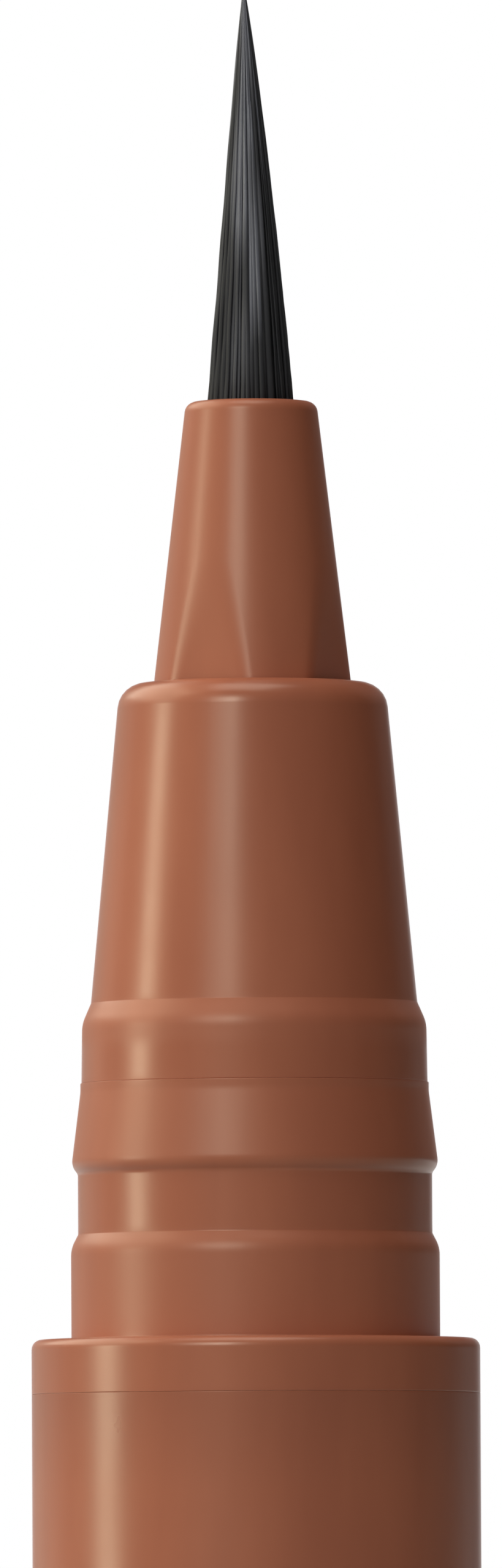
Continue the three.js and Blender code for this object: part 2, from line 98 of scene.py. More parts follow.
# Cap seat
SEAL_LAND_RADIUS = 4.11
SEAL_LAND_LENGTH = 2.03
LAND_SLOPE = 0.31
LAND_EDGE = 0.7
GROOVE_RADIUS = 3.95
GROOVE_LENGTH = 1.35
GROOVE_FILLET = 0.15
BEAD_UNDERSIDE = 0.18
BEAD_EDGE = 0.35
BEAD_RADIUS = 4.09
BEAD_TOP_RADIUS = 3.885
BEAD_LEAD = 0.2
BEAD_LEAD_FILLET = 1.0
NOSE_SOCKET_RADIUS = 3.3
FEED_BORE_RADIUS = 2.72

# Nose cone
NOSE_RING_RADIUS = 3.86
NOSE_RING_DRAFT = 0.02
NOSE_RING_LENGTH = 1.33
NOSE_RING_SHOULDER = 0.46
NOSE_RING_EDGE = 0.8
NOSE_FILLET = 0.05
NOSE_BASE_RADIUS = 3.64
NOSE_TOP_RADIUS = 2.965
NOSE_LENGTH = 7.15
NOSE_EDGE_RADIUS = 0.6
NOSE_HOLE_RADIUS = 2.23
NOSE_ROOF = 1.3
NOSE_SPIGOT_RADIUS = 3.27
NOSE_SPIGOT_LENGTH = 3.0

# Nozzle, with flats on its foot
NOZZLE_BASE_RADIUS = 2.2
NOZZLE_TOP_RADIUS = 1.46
NOZZLE_LENGTH = 6.29
NOZZLE_EDGE_RADIUS = 0.25
NOZZLE_MOUTH_RADIUS = 1.015
NOZZLE_FLANGE_RADIUS = 2.5
NOZZLE_FLANGE_THICKNESS = 1.2
NOZZLE_SLEEVE_RADIUS = 1.935
HEEL_POCKET_RADIUS = 1.435
FLAT_COUNT = 4
FLAT_DISTANCE = 1.99
FLAT_DRAFT = math.radians(1.5)
FLAT_TURN = math.radians(-29)
FLAT_EDGE = 0.09
FLAT_REACH = 2.6
FLAT_STEP = 0.06
FLAT_FACING = 0.5

# Tail stub and cap
CAP_LINE_EDGE = 0.25
STUB_LENGTH = 8.0
STUB_EDGE_RADIUS = 0.4
STUB_CORE_RADIUS = 2.5
STUB_CORE_ROOF = 1.5
CAP_MOUTH_RADIUS = 4.17
CAP_GUIDE_RADIUS = 4.2
NECK_LENGTH = 1.0
NECK_RADIUS = 3.545
SNAP_RIB_RADIUS = 4.01
SNAP_RIB_DEPTH = 3.015
SNAP_RIB_HALF = 0.25
SNAP_RIB_SIDE = 0.3
INNER_CAP_RADIUS = 3.035
INNER_CAP_WALL = 0.5
INNER_CAP_END = 0.8
INNER_CAP_COLLAR_RADIUS = 4.14
INNER_CAP_COLLAR = 1.0
INNER_CAP_MOUTH = 0.2
INNER_CAP_FLOOR_EDGE = 0.3
CROWN_PLUG_RADIUS = 4.17
CROWN_FLANGE = 1.0
CROWN_EDGE_RADIUS = 0.6
SPRING_WIRE_RADIUS = 0.175
SPRING_RADIUS = 2.525
SPRING_TURNS = 3.75
SPRING_STEPS = 32
SPRING_SIDES = 8

# Brush: taper, lean of the tip, root on the wick's point, and bristles that cling together in wet locks
BRUSH_RADIUS = 0.985
BRUSH_FULLNESS = 0.87
BRUSH_LEAN = 0.12
BRUSH_ROOT_LENGTH = 5.5
HEEL_RADIUS = 1.405
HEEL_THICKNESS = 0.8
WICK_RADIUS = 0.6
WICK_POINT = 0.4
# Seed picked so the locks across the front come out light in the middle, dark at the sides: painted highlight
# and shade
BRISTLE_SEED = 78140
BRISTLE_COUNT = 460
BRISTLE_SIDES = 8
BRISTLE_STEPS = 24
BRISTLE_WIDTH = 0.07
BRISTLE_DEPTH = 0.03
BRISTLE_SIZES = (0.8, 1.1)
BRISTLE_TIP_SIZE = 0.3
BRISTLE_POINT_SIZE = 0.04
BRISTLE_POINT_POWER = 6
BRISTLE_STEP_POWER = 1.3
BRISTLE_ROOTED = 0.6
BRISTLE_SPREAD_OF_ENDS = 0.3
BRISTLE_SWAY = 0.06
BRISTLE_WEAVE = 0.02
BRISTLE_WAVES = 4.5
BRISTLE_TWIST = 0.35
LOCK_COUNT = 70
LOCK_GATHER = 0.4
LOCK_WAVES = 1.8
# Tone along the bristles: painted highlight in patches and towards the tip, painted shade towards the root
LOCK_HIGHLIGHT_PATCHES = 0.36
LOCK_TONE = 0.75
ROOT_PAINTED_SHADE = 0.35
TIP_PAINTED_HIGHLIGHT = 2.1

# Brown plastic: flow streaks, roughness where clean and where scuffed, the nozzle's share of scuffed,
# and the painted shade on the barrel's upper end just under the flange, with its length in mm
BROWN_DARK = (0.36, 0.11, 0.0565)
BROWN_LIGHT = (0.395, 0.124, 0.0635)
CLEAN_ROUGHNESS = (0.26, 0.32)
SCUFFED_ROUGHNESS = (0.36, 0.42)
NOZZLE_DULLNESS = 0.6
PAINTED_SEAM_SHADE = (0.88, 0.88, 0.9)
PAINTED_SEAM_SHADE_LENGTH = 2.2

# Surrounding light: its mean level, how it grows to the right, to the back and upwards,
# and the cosine at which the white backdrop begins behind the pen
FILL_LEVEL = 0.15
FILL_TILT = (-0.17, -0.11, 0.0)
BACKDROP_EDGE = 0.93

# Light panels: degrees to the left of the camera and above the floor, metres and watts,
# round the point that they face
WARM = (1, 0.97, 0.81)
PANEL_AIM = (0, 0, 0.13)
PANELS = {
    "left_strip": dict(azimuth=83, elevation=4.5, distance=2.0, size=(0.42, 0.7), power=10.0, colour=WARM),
    "left_high": dict(azimuth=112, elevation=38, distance=2.5, size=(3.33, 1.67), power=45.5, colour=WARM),
    "left_rim": dict(azimuth=140, elevation=10, distance=2.5, size=(1.94, 1.1), power=2.6, colour=WARM),
    "right_rim": dict(azimuth=-146, elevation=10, distance=2.5, size=(1.67, 1.1), power=0.5),
    "front_softbox": dict(azimuth=24, elevation=24, distance=2.1, size=(0.78, 0.66), power=10.35),
    "front_core": dict(azimuth=18, elevation=24, distance=2.1, size=(0.18, 0.66), power=4.5),
    "overhead": dict(azimuth=20, elevation=80, distance=2.4, size=(1.5, 1.5), power=19.8),
    "back_right": dict(azimuth=-158, elevation=24, distance=2.5, size=(2, 1.2), power=42, mirrored=False),
}

# Floor: its shades, roughness and half its width in metres, the distances over which it fades to white
# as seen and as mirrored, and its share of bounced light
FLOOR_DARK = 0.61
FLOOR_LIGHT = 0.65
FLOOR_ROUGHNESS = 0.8
FLOOR_REACH = 4.0
FLOOR_FADE_SEEN = (0.4, 1.5)
FLOOR_FADE_MIRRORED = (2.0, 4.0)
FLOOR_BOUNCE = 0.18

# Camera: millimetres of the object that the picture's height takes in, and the way it is held
PICTURE_HEIGHT = 35.02
CAMERA_LENS = 440
CAMERA_SENSOR = 36
CAMERA_NEAREST = 0.01
CAMERA_ELEVATION = math.radians(-2.6)
CAMERA_ROLL = math.radians(0.29)
AIM_ABOVE_CAP_STOP = 12.39
AIM_SIDEWAYS = -0.045


def span(node):
    """Lowest and highest point of a CAD node, in mm."""
    low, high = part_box(node)
    return low.z / MM, high.z / MM


def cap_stop():
    """Height of the flange face that the cap's rim meets, in mm."""
    return span("barrel")[1] + SEAT_GAP + FLANGE_THICKNESS


def seat_levels():
    """Heights on the cap seat, in mm: top of the land, both ends of the groove and the bead's widest ring."""
    land = cap_stop() + SEAL_LAND_LENGTH
    groove_low = land + LAND_SLOPE
    groove_high = groove_low + GROOVE_LENGTH
    return land, groove_low, groove_high, groove_high + BEAD_UNDERSIDE


def corner(before, here, after, radius):
    """Points of an arc that rounds the corner at `here` between its two neighbours."""
    to_before = (before - here).normalized()
    to_after = (after - here).normalized()
    half = to_before.angle(to_after) / 2
    reach = min((before - here).length, (after - here).length) * CORNER_SHARE
    setback = min(radius / math.tan(half), reach)
    if setback < TINY or half > WIDEST_HALF:
        return [here]
    fitted = setback * math.tan(half)
    centre = here + (to_before + to_after).normalized() * (fitted / math.sin(half))
    start = here + to_before * setback - centre
    end = here + to_after * setback - centre
    directions = [start.slerp(end, step / EDGE_STEPS) for step in range(EDGE_STEPS + 1)]
    return [centre + direction.normalized() * fitted for direction in directions]


def rounded(outline):
    """A closed outline of (radius, height, rounding) with its corners turned into arcs."""
    flat = [Vector((radius, height)) for radius, height, _ in outline]
    arcs = []
    for i, here in enumerate(flat):
        on_axis = here.x < TINY
        arc = [here] if on_axis else corner(flat[i - 1], here, flat[(i + 1) % len(flat)], outline[i][2])
        arcs.append(arc)
    points = []
    for i, arc in enumerate(arcs):
        points.extend(arc)
        start, end = arc[-1], arcs[(i + 1) % len(arcs)][0]
        if (end - start).length > 3 * SUPPORT:
            along = (end - start).normalized() * SUPPORT
            points.extend([start + along, end - along])
    return points


def lathe(points, around=AROUND, shape=None):
    """Corners and faces of a solid of revolution; `shape` may move each point after turning."""
    vertices = []
    rings = []
    for radius, height in points:
        count = 1 if radius < TINY else around
        rings.append([len(vertices) + i for i in range(count)])
        for i in range(count):
            angle = 2 * math.pi * i / count
            place = Vector((radius * math.cos(angle), radius * math.sin(angle), height))
            vertices.append(shape(place) if shape else place)
    faces = []
    for low, high in zip(rings, rings[1:] + rings[:1]):
        for i in range(around):
            after = i + 1
            quad = [low[i % len(low)], low[after % len(low)], high[after % len(high)], high[i % len(high)]]
            face = list(dict.fromkeys(quad))
            if len(face) > 2:
                faces.append(face)
    return vertices, faces


def mesh_object(name, vertices, faces):
    """A smooth mesh with its faces turned outwards, from points in mm."""
    mesh = bpy.data.meshes.new(name)
    mesh.from_pydata([vertex * MM for vertex in vertices], [], faces)
    shape = bmesh.new()
    shape.from_mesh(mesh)
    bmesh.ops.recalc_face_normals(shape, faces=shape.faces)
    shape.to_mesh(mesh)
    shape.free()
    mesh.shade_smooth()
    piece = bpy.data.objects.new(name, mesh)
    bpy.context.collection.objects.link(piece)
    return piece


def turned(name, outline, around=AROUND, shape=None):
    """A smooth turned piece from an outline of (radius, height, rounding)."""
    return mesh_object(name, *lathe(rounded(outline), around, shape))


def dress(piece, material, body, slot, *nodes):
    """Paint a piece, let it move with its body and take the place of CAD nodes."""
    piece.data.materials.append(material)
    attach(piece, body)
    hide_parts(*nodes)
    return piece


class Nodes:
    """Short way to fill a node tree."""

    def __init__(self, tree):
        self.tree = tree

    def add(self, kind, **inputs):
        """A new node with some of its inputs set."""
        node = self.tree.nodes.new(kind)
        for key, value in inputs.items():
            node.inputs[key.replace("_", " ")].default_value = value
        return node

    def join(self, output, socket):
        self.tree.links.new(output, socket)

    def place(self):
        """Position on the piece, in metres."""
        return self.add("ShaderNodeTexCoord").outputs["Object"]

    def direction(self):
        """Direction in which a ray leaves for the surroundings."""
        return self.add("ShaderNodeTexCoord").outputs["Generated"]

    def combine(self, operation, first, second):
        """Two values put together by one step of arithmetic."""
        node = self.add("ShaderNodeMath")
        node.operation = operation
        self.join(first, node.inputs[0])
        self.join(second, node.inputs[1])
        return node.outputs["Value"]

    def highest(self, first, *others):
        """Greatest of several values."""
        for other in others:
            first = self.combine("MAXIMUM", first, other)
        return first

    def noise(self, scale, detail=2.0, roughness=0.5, stretch=(1, 1, 1)):
        """Noise of about `scale` waves in a metre, stretched along the axes."""
        mapping = self.add("ShaderNodeMapping", Scale=stretch)
        self.join(self.place(), mapping.inputs["Vector"])
        noise = self.add("ShaderNodeTexNoise", Scale=scale, Detail=detail, Roughness=roughness)
        self.join(mapping.outputs["Vector"], noise.inputs["Vector"])
        return noise.outputs["Fac"]

    def ranged(self, value, low, high):
        """A 0 to 1 value spread over another range."""
        spread = self.add("ShaderNodeMapRange", To_Min=low, To_Max=high)
        self.join(value, spread.inputs["Value"])
        return spread.outputs["Result"]

    def rise(self, value, low, high, smooth=False):
        """Nought at `low` and beyond it, one at `high` and beyond it, with a rise between."""
        rise = self.add("ShaderNodeMapRange", From_Min=low, From_Max=high)
        rise.interpolation_type = "SMOOTHSTEP" if smooth else "LINEAR"
        self.join(value, rise.inputs["Value"])
        return rise.outputs["Result"]

    def band(self, low, high, low_edge=BAND_EDGE, high_edge=BAND_EDGE):
        """One between two heights in mm and nought elsewhere, with soft ends."""
        axes = self.add("ShaderNodeSeparateXYZ")
        self.join(self.place(), axes.inputs["Vector"])
        height = axes.outputs["Z"]
        begins = self.rise(height, (low - low_edge) * MM, (low + low_edge) * MM)
        ends = self.rise(height, (high + high_edge) * MM, (high - high_edge) * MM)
        return self.combine("MULTIPLY", begins, ends)

    def ramp(self, value, *stops):
        """Colours at 0 to 1 stops."""
        ramp = self.add("ShaderNodeValToRGB")
        colours = ramp.color_ramp.elements
        while len(colours) < len(stops):
            colours.new(0.5)
        for element, (position, colour) in zip(colours, stops):
            element.position = position
            element.color = (*colour, 1)
        self.join(value, ramp.inputs["Fac"])
        return ramp.outputs["Color"]

    def mix_colour(self, share, first, second, blend="MIX"):
        """A colour from a node blended with a plain one, by a 0 to 1 share."""
        mix = self.add("ShaderNodeMix")
        mix.data_type = "RGBA"
        mix.blend_type = blend
        self.join(share, mix.inputs["Factor"])
        self.join(first, mix.inputs[MIX_FIRST])
        mix.inputs[MIX_SECOND].default_value = (*second, 1)
        return mix.outputs[MIX_RESULT]

    def mix_shaders(self, share, first, second, output):
        """Two shaders blended by a 0 to 1 share, as the tree's output."""
        mix = self.add("ShaderNodeMixShader")
        self.join(share, mix.inputs["Fac"])
        self.join(first, mix.inputs[1])
        self.join(second, mix.inputs[2])
        self.join(mix.outputs["Shader"], self.tree.nodes[output].inputs["Surface"])


class MaterialNodes(Nodes):
    """Short way to make a node material."""

    def __init__(self, name):
        self.material = bpy.data.materials.new(name)
        self.material.use_nodes = True
        super().__init__(self.material.node_tree)
        self.surface = self.tree.nodes["Principled BSDF"]

    def bump(self, height, strength, distance):
        """Fine relief from a 0 to 1 value, `distance` in metres deep."""
        bump = self.add("ShaderNodeBump", Strength=strength, Distance=distance)
        self.join(height, bump.inputs["Height"])
        self.join(bump.outputs["Normal"], self.surface.inputs["Normal"])

    def set(self, **inputs):
        """Set plain values of the surface."""
        for key, value in inputs.items():
            self.surface.inputs[key.replace("_", " ")].default_value = value


def dull_bands():
    """Heights in mm of the duller finish and its degree: where the cap rubs the front, and on the nozzle."""
    _, groove_low, _, bead = seat_levels()
    seat_top = span("cap_seat")[1]
    ring = seat_top + NOSE_RING_LENGTH
    return [
        (cap_stop(), groove_low, 1),
        (bead, seat_top, 1),
        (ring - NOSE_RING_SHOULDER, ring + NOSE_RING_SHOULDER, 1),
        (span("nose_cone")[1], span("nozzle")[1] + BAND_EDGE, NOZZLE_DULLNESS),
    ]


def brown_plastic():
    """Glossy brown moulding with faint flow streaks, duller on the nozzle and where the cap rubs."""
    nodes = MaterialNodes("brown_plastic")
    flow = nodes.noise(450, detail=3, stretch=(1, 1, 0.22))
    colour = nodes.ramp(flow, (0.4, BROWN_DARK), (0.6, BROWN_LIGHT))
    # Painted shade: the barrel's upper end is darkened in a soft band just under the flange
    barrel_end = cap_stop() - FLANGE_THICKNESS
    seam_shade = nodes.band(barrel_end - PAINTED_SEAM_SHADE_LENGTH / 2, barrel_end, PAINTED_SEAM_SHADE_LENGTH / 2, SEAT_GAP)
    seam_shaded_colour = nodes.mix_colour(seam_shade, colour, PAINTED_SEAM_SHADE, "MULTIPLY")
    nodes.join(seam_shaded_colour, nodes.surface.inputs["Base Color"])
    clean = nodes.ranged(nodes.noise(900, detail=3), *CLEAN_ROUGHNESS)
    scuffed = nodes.ranged(nodes.noise(2500, detail=3, stretch=(1, 1, 0.1)), *SCUFFED_ROUGHNESS)
    gloss = nodes.add("ShaderNodeMix")
    dull = [nodes.ranged(nodes.band(low, high), 0, degree) for low, high, degree in dull_bands()]
    nodes.join(nodes.highest(*dull), gloss.inputs["Factor"])
    nodes.join(clean, gloss.inputs["A"])
    nodes.join(scuffed, gloss.inputs["B"])
    nodes.join(gloss.outputs["Result"], nodes.surface.inputs["Roughness"])
    nodes.bump(nodes.noise(350, detail=1), 0.06, 0.00002)
    nodes.set(IOR=1.5, Specular_Tint=(1, 0.9, 0.72, 1))
    return nodes.material


def natural_plastic():
    """Uncoloured polypropylene, milky and a little waxy."""
    nodes = MaterialNodes("natural_plastic")
    haze = nodes.noise(500, detail=3)
    colour = nodes.ramp(haze, (0.3, (0.62, 0.6, 0.55)), (0.7, (0.72, 0.71, 0.66)))
    nodes.join(colour, nodes.surface.inputs["Base Color"])
    nodes.join(nodes.ranged(nodes.noise(1200), 0.35, 0.48), nodes.surface.inputs["Roughness"])
    nodes.set(IOR=1.49, Subsurface_Weight=0.2, Subsurface_Scale=0.0008)
    return nodes.material


def bristle():
    """Ink-wet bristles, dull black and glossier, gloss coming and going along them, tone with painted shade
    and highlight.
    """
    nodes = MaterialNodes("bristle")
    tone_and_painted_light = nodes.add("ShaderNodeAttribute")
    tone_and_painted_light.attribute_name = "tone_and_painted_light"
    # Base colour from the tone: lock tones with painted shade at the root and painted highlight along the
    # bristles
    colour = nodes.ramp(
        tone_and_painted_light.outputs["Fac"],
        (0.0, (0.007, 0.007, 0.008)),
        (0.4, (0.021, 0.021, 0.023)),
        (0.8, (0.128, 0.131, 0.147)),
    )
    nodes.join(colour, nodes.surface.inputs["Base Color"])
    film = nodes.noise(4000, detail=2, stretch=(1, 1, 0.15))
    dullness = nodes.ranged(tone_and_painted_light.outputs["Fac"], 0.6, 0.1)
    roughness = nodes.combine("ADD", dullness, nodes.ranged(film, 0.1, 0.3))
    nodes.join(roughness, nodes.surface.inputs["Roughness"])
    nodes.set(IOR=1.42)
    return nodes.material


def wick_fibre():
    """Bonded fibre, stained by ink."""
    nodes = MaterialNodes("wick_fibre")
    fibres = nodes.noise(6000, detail=3, stretch=(1, 1, 0.05))
    colour = nodes.ramp(fibres, (0.3, (0.045, 0.024, 0.015)), (0.7, (0.1, 0.058, 0.04)))
    nodes.join(colour, nodes.surface.inputs["Base Color"])
    nodes.bump(fibres, 0.4, 0.00005)
    nodes.set(Roughness=0.9)
    return nodes.material


def seal_rubber():
    """Matt black rubber with a dusty bloom."""
    nodes = MaterialNodes("seal_rubber")
    bloom = nodes.noise(2500, detail=4)
    colour = nodes.ramp(bloom, (0.35, (0.012, 0.012, 0.012)), (0.8, (0.03, 0.03, 0.03)))
    nodes.join(colour, nodes.surface.inputs["Base Color"])
    nodes.join(nodes.ranged(bloom, 0.6, 0.8), nodes.surface.inputs["Roughness"])
    return nodes.material


def steel():
    """Polished steel with fine marks."""
    nodes = MaterialNodes("steel")
    marks = nodes.noise(4000, detail=5, roughness=0.7)
    colour = nodes.ramp(marks, (0.3, (0.5, 0.51, 0.52)), (0.7, (0.6, 0.61, 0.63)))
    nodes.join(colour, nodes.surface.inputs["Base Color"])
    nodes.join(nodes.ranged(marks, 0.15, 0.3), nodes.surface.inputs["Roughness"])
    nodes.set(Metallic=1.0)
    return nodes.material


def ring_groove(middle):
    """Outline of a groove round a plug for a seal ring, from its lower to its upper edge."""
    return [
        (PLUG_RADIUS, middle - RING_GROOVE_HALF, CRISP),
        (RING_GROOVE_RADIUS, middle - RING_GROOVE_HALF, CRISP),
        (RING_GROOVE_RADIUS, middle + RING_GROOVE_HALF, CRISP),
        (PLUG_RADIUS, middle + RING_GROOVE_HALF, CRISP),
    ]


def barrel_piece():
    """Plain tube with hairline seams at both ends."""
    low, high = span("barrel")
    low -= SEAT_GAP - SEAM_GAP
    high += SEAT_GAP - SEAM_GAP
    outline = [
        (TANK_RADIUS, low, CRISP),
        (BARREL_RADIUS, low, SEAM),
        (BARREL_RADIUS, high, SEAM),
        (TANK_RADIUS, high, CRISP),
    ]
    return turned("barrel_tube", outline)


def cap_seat_piece():
    """Plug in the barrel, flange, seal land, snap groove and snap bead."""
    low, high = span("cap_seat")
    stop = cap_stop()
    plug = stop - FLANGE_THICKNESS
    land, groove_low, groove_high, bead = seat_levels()
    outline = [
        (FEED_BORE_RADIUS, low, CRISP),
        (PLUG_RADIUS - PLUG_LEAD_IN, low, CRISP),
        (PLUG_RADIUS, low + PLUG_LEAD_IN, CRISP),
        *ring_groove(low + FRONT_PLUG_LENGTH / 2),
        (PLUG_RADIUS, plug, CRISP),
        (BARREL_RADIUS, plug, SEAM),
        (BARREL_RADIUS, stop, FLANGE_EDGE),
        (SEAL_LAND_RADIUS, stop, CRISP),
        (SEAL_LAND_RADIUS, land, LAND_EDGE),
        (GROOVE_RADIUS, groove_low, EDGE),
        (GROOVE_RADIUS, groove_high, GROOVE_FILLET),
        (BEAD_RADIUS, bead, BEAD_EDGE),
        (BEAD_TOP_RADIUS, high - BEAD_LEAD, BEAD_LEAD_FILLET),
        (BEAD_TOP_RADIUS, high, SEAM),
        (NOSE_SOCKET_RADIUS, high, CRISP),
        (NOSE_SOCKET_RADIUS, high - NOSE_SPIGOT_LENGTH, CRISP),
        (FEED_BORE_RADIUS, high - NOSE_SPIGOT_LENGTH, CRISP),
    ]
    return turned("cap_seat_moulding", outline)


def nose_cone_piece():
    """Spigot, ring and cone, open for the nozzle and the feed."""
    low, high = span("nose_cone")
    cone = high - NOSE_LENGTH
    ring = cone - NOSE_RING_SHOULDER
    foot = ring - NOSE_RING_LENGTH + SEAM_GAP
    roof = high - NOSE_ROOF
    flange_bore = NOZZLE_FLANGE_RADIUS + CRISP
    flange_foot = roof - SEAT_GAP - NOZZLE_FLANGE_THICKNESS
    outline = [
        (FEED_BORE_RADIUS, low, CRISP),
        (NOSE_SPIGOT_RADIUS, low, CRISP),
        (NOSE_SPIGOT_RADIUS, foot, CRISP),
        (NOSE_RING_RADIUS, foot, SEAM),
        (NOSE_RING_RADIUS - NOSE_RING_DRAFT, ring, NOSE_RING_EDGE),
        (NOSE_BASE_RADIUS, cone, NOSE_FILLET),
        (NOSE_TOP_RADIUS, high, NOSE_EDGE_RADIUS),
        (NOSE_HOLE_RADIUS, high, CRISP),
        (NOSE_HOLE_RADIUS, roof, CRISP),
        (flange_bore, roof, CRISP),
        (flange_bore, flange_foot, CRISP),
        (FEED_BORE_RADIUS, flange_foot, CRISP),
    ]
    return turned("nose_cone_moulding", outline)


def nozzle_piece():
    """Small cone with flats on its foot and a flange under the nose cone's roof."""
    low, high = span("nozzle")
    base = high - NOZZLE_LENGTH
    seat = base - NOSE_ROOF - SEAT_GAP
    flange_foot = seat - NOZZLE_FLANGE_THICKNESS
    heel = high - BRUSH_ROOT_LENGTH
    slope = (NOZZLE_BASE_RADIUS - NOZZLE_TOP_RADIUS) / NOZZLE_LENGTH

    def flattened(place):
        """Bring a point in to the flats on the nozzle's foot, with softened edges."""
        radius = math.hypot(place.x, place.y)
        limit = FLAT_DISTANCE - math.tan(FLAT_DRAFT) * (place.z - base)
        nearest = radius
        for flat in range(FLAT_COUNT):
            turn = FLAT_TURN + 2 * math.pi * flat / FLAT_COUNT
            outward = place.x * math.sin(turn) - place.y * math.cos(turn)
            if outward > FLAT_FACING * radius:
                plane = radius * limit / outward
                blend = max(FLAT_EDGE - abs(nearest - plane), 0) ** 2 / (4 * FLAT_EDGE)
                nearest = min(nearest, plane) - blend
        scale = nearest / radius
        return Vector((place.x * scale, place.y * scale, place.z))

    rises = [FLAT_STEP * step for step in range(round(FLAT_REACH / FLAT_STEP) + 1)]
    foot = [(NOZZLE_BASE_RADIUS - slope * rise, base + rise, 0) for rise in rises]
    outline = [
        (HEEL_POCKET_RADIUS, low, CRISP),
        (NOZZLE_SLEEVE_RADIUS, low, CRISP),
        (NOZZLE_SLEEVE_RADIUS, flange_foot, CRISP),
        (NOZZLE_FLANGE_RADIUS, flange_foot, CRISP),
        (NOZZLE_FLANGE_RADIUS, seat, CRISP),
        (NOZZLE_BASE_RADIUS, seat, CRISP),
        *foot,
        (NOZZLE_TOP_RADIUS, high, NOZZLE_EDGE_RADIUS),
        (NOZZLE_MOUTH_RADIUS, high, CRISP),
        (NOZZLE_MOUTH_RADIUS, heel, CRISP),
        (HEEL_POCKET_RADIUS, heel, CRISP),
    ]
    return turned("nozzle_moulding", outline, around=2 * AROUND, shape=flattened)


def tail_plug_piece():
    """Plug in the barrel, flange and hollow stub for the cap."""
    low, high = span("tail_plug")
    stop = low + STUB_LENGTH
    plug = stop + FLANGE_THICKNESS
    core = high - STUB_CORE_ROOF
    outline = [
        (0, core, 0),
        (STUB_CORE_RADIUS, core, EDGE),
        (STUB_CORE_RADIUS, low, EDGE),
        (GROOVE_RADIUS, low, STUB_EDGE_RADIUS),
        (GROOVE_RADIUS, stop, CRISP),
        (BARREL_RADIUS, stop, CAP_LINE_EDGE),
        (BARREL_RADIUS, plug, SEAM),
        (PLUG_RADIUS, plug, CRISP),
        *ring_groove(plug + TAIL_PLUG_LENGTH / 2),
        (PLUG_RADIUS, high - PLUG_LEAD_IN, CRISP),
        (PLUG_RADIUS - PLUG_LEAD_IN, high, CRISP),
        (0, high, 0),
    ]
    return turned("tail_plug_moulding", outline)


def cap_shell_piece():
    """Tube with a snap rib in its mouth and a neck that stops the inner cap."""
    low, rim = span("cap_shell")
    neck = span("inner_cap")[1] + SEAT_GAP
    rib = rim + SEAT_GAP - SNAP_RIB_DEPTH
    outline = [
        (CAP_GUIDE_RADIUS, low, CRISP),
        (BARREL_RADIUS, low, EDGE),
        (BARREL_RADIUS, rim, CAP_LINE_EDGE),
        (CAP_MOUTH_RADIUS, rim, EDGE),
        (CAP_MOUTH_RADIUS, rib + SNAP_RIB_HALF + SNAP_RIB_SIDE, CRISP),
        (SNAP_RIB_RADIUS, rib + SNAP_RIB_HALF, CRISP),
        (SNAP_RIB_RADIUS, rib - SNAP_RIB_HALF, CRISP),
        (CAP_MOUTH_RADIUS, rib - SNAP_RIB_HALF - SNAP_RIB_SIDE, CRISP),
        (CAP_MOUTH_RADIUS, neck + NECK_LENGTH, CRISP),
        (NECK_RADIUS, neck + NECK_LENGTH, EDGE),
        (NECK_RADIUS, neck, EDGE),
        (CAP_GUIDE_RADIUS, neck, CRISP),
    ]
    return turned("cap_shell_moulding", outline)


def inner_cap_piece():
    """Cup with a collar."""
    low, mouth = span("inner_cap")
    outer = INNER_CAP_RADIUS + INNER_CAP_WALL
    outline = [
        (0, low, 0),
        (outer, low, INNER_CAP_WALL),
        (outer, mouth - INNER_CAP_COLLAR, CRISP),
        (INNER_CAP_COLLAR_RADIUS, mouth - INNER_CAP_COLLAR, EDGE),
        (INNER_CAP_COLLAR_RADIUS, mouth, EDGE),
        (INNER_CAP_RADIUS, mouth, INNER_CAP_MOUTH),
        (INNER_CAP_RADIUS, low + INNER_CAP_END, INNER_CAP_FLOOR_EDGE),
        (0, low + INNER_CAP_END, 0),
    ]
    return turned("inner_cap_moulding", outline)


def crown_piece():
    """Closed end of the cap with its plug."""
    low, high = span("crown")
    outline = [
        (0, low, 0),
        (BARREL_RADIUS, low, CROWN_EDGE_RADIUS),
        (BARREL_RADIUS, low + CROWN_FLANGE, EDGE),
        (CROWN_PLUG_RADIUS, low + CROWN_FLANGE, CRISP),
        (CROWN_PLUG_RADIUS, high - PLUG_LEAD_IN, CRISP),
        (CROWN_PLUG_RADIUS - PLUG_LEAD_IN, high, CRISP),
        (0, high, 0),
    ]
    return turned("crown_moulding", outline)


def sunflower(i, count):
    """Place of seed `i` of `count` on a unit disc."""
    radius = math.sqrt((i + 0.5) / count)
    return Vector((radius * math.cos(i * GOLDEN_ANGLE), radius * math.sin(i * GOLDEN_ANGLE)))


def add_bristle(vertices, faces, centres, sizes, outward):
    """Add a closed tube of level rings, flattened against the bundle, to lists of corners and faces."""
    first = len(vertices)
    across = Vector((-outward.y, outward.x, 0))
    for centre, size in zip(centres, sizes):
        for side in range(BRISTLE_SIDES):
            angle = 2 * math.pi * side / BRISTLE_SIDES
            deep = outward * (math.cos(angle) * BRISTLE_DEPTH * size)
            wide = across * (math.sin(angle) * BRISTLE_WIDTH * size)
            vertices.append(centre + deep + wide)
    for step in range(len(centres) - 1):
        for side in range(BRISTLE_SIDES):
            this = first + step * BRISTLE_SIDES + side
            after = first + step * BRISTLE_SIDES + (side + 1) % BRISTLE_SIDES
            faces.append([this, after, after + BRISTLE_SIDES, this + BRISTLE_SIDES])
    last = first + (len(centres) - 1) * BRISTLE_SIDES
    faces.append([first + side for side in reversed(range(BRISTLE_SIDES))])
    faces.append([last + side for side in range(BRISTLE_SIDES)])


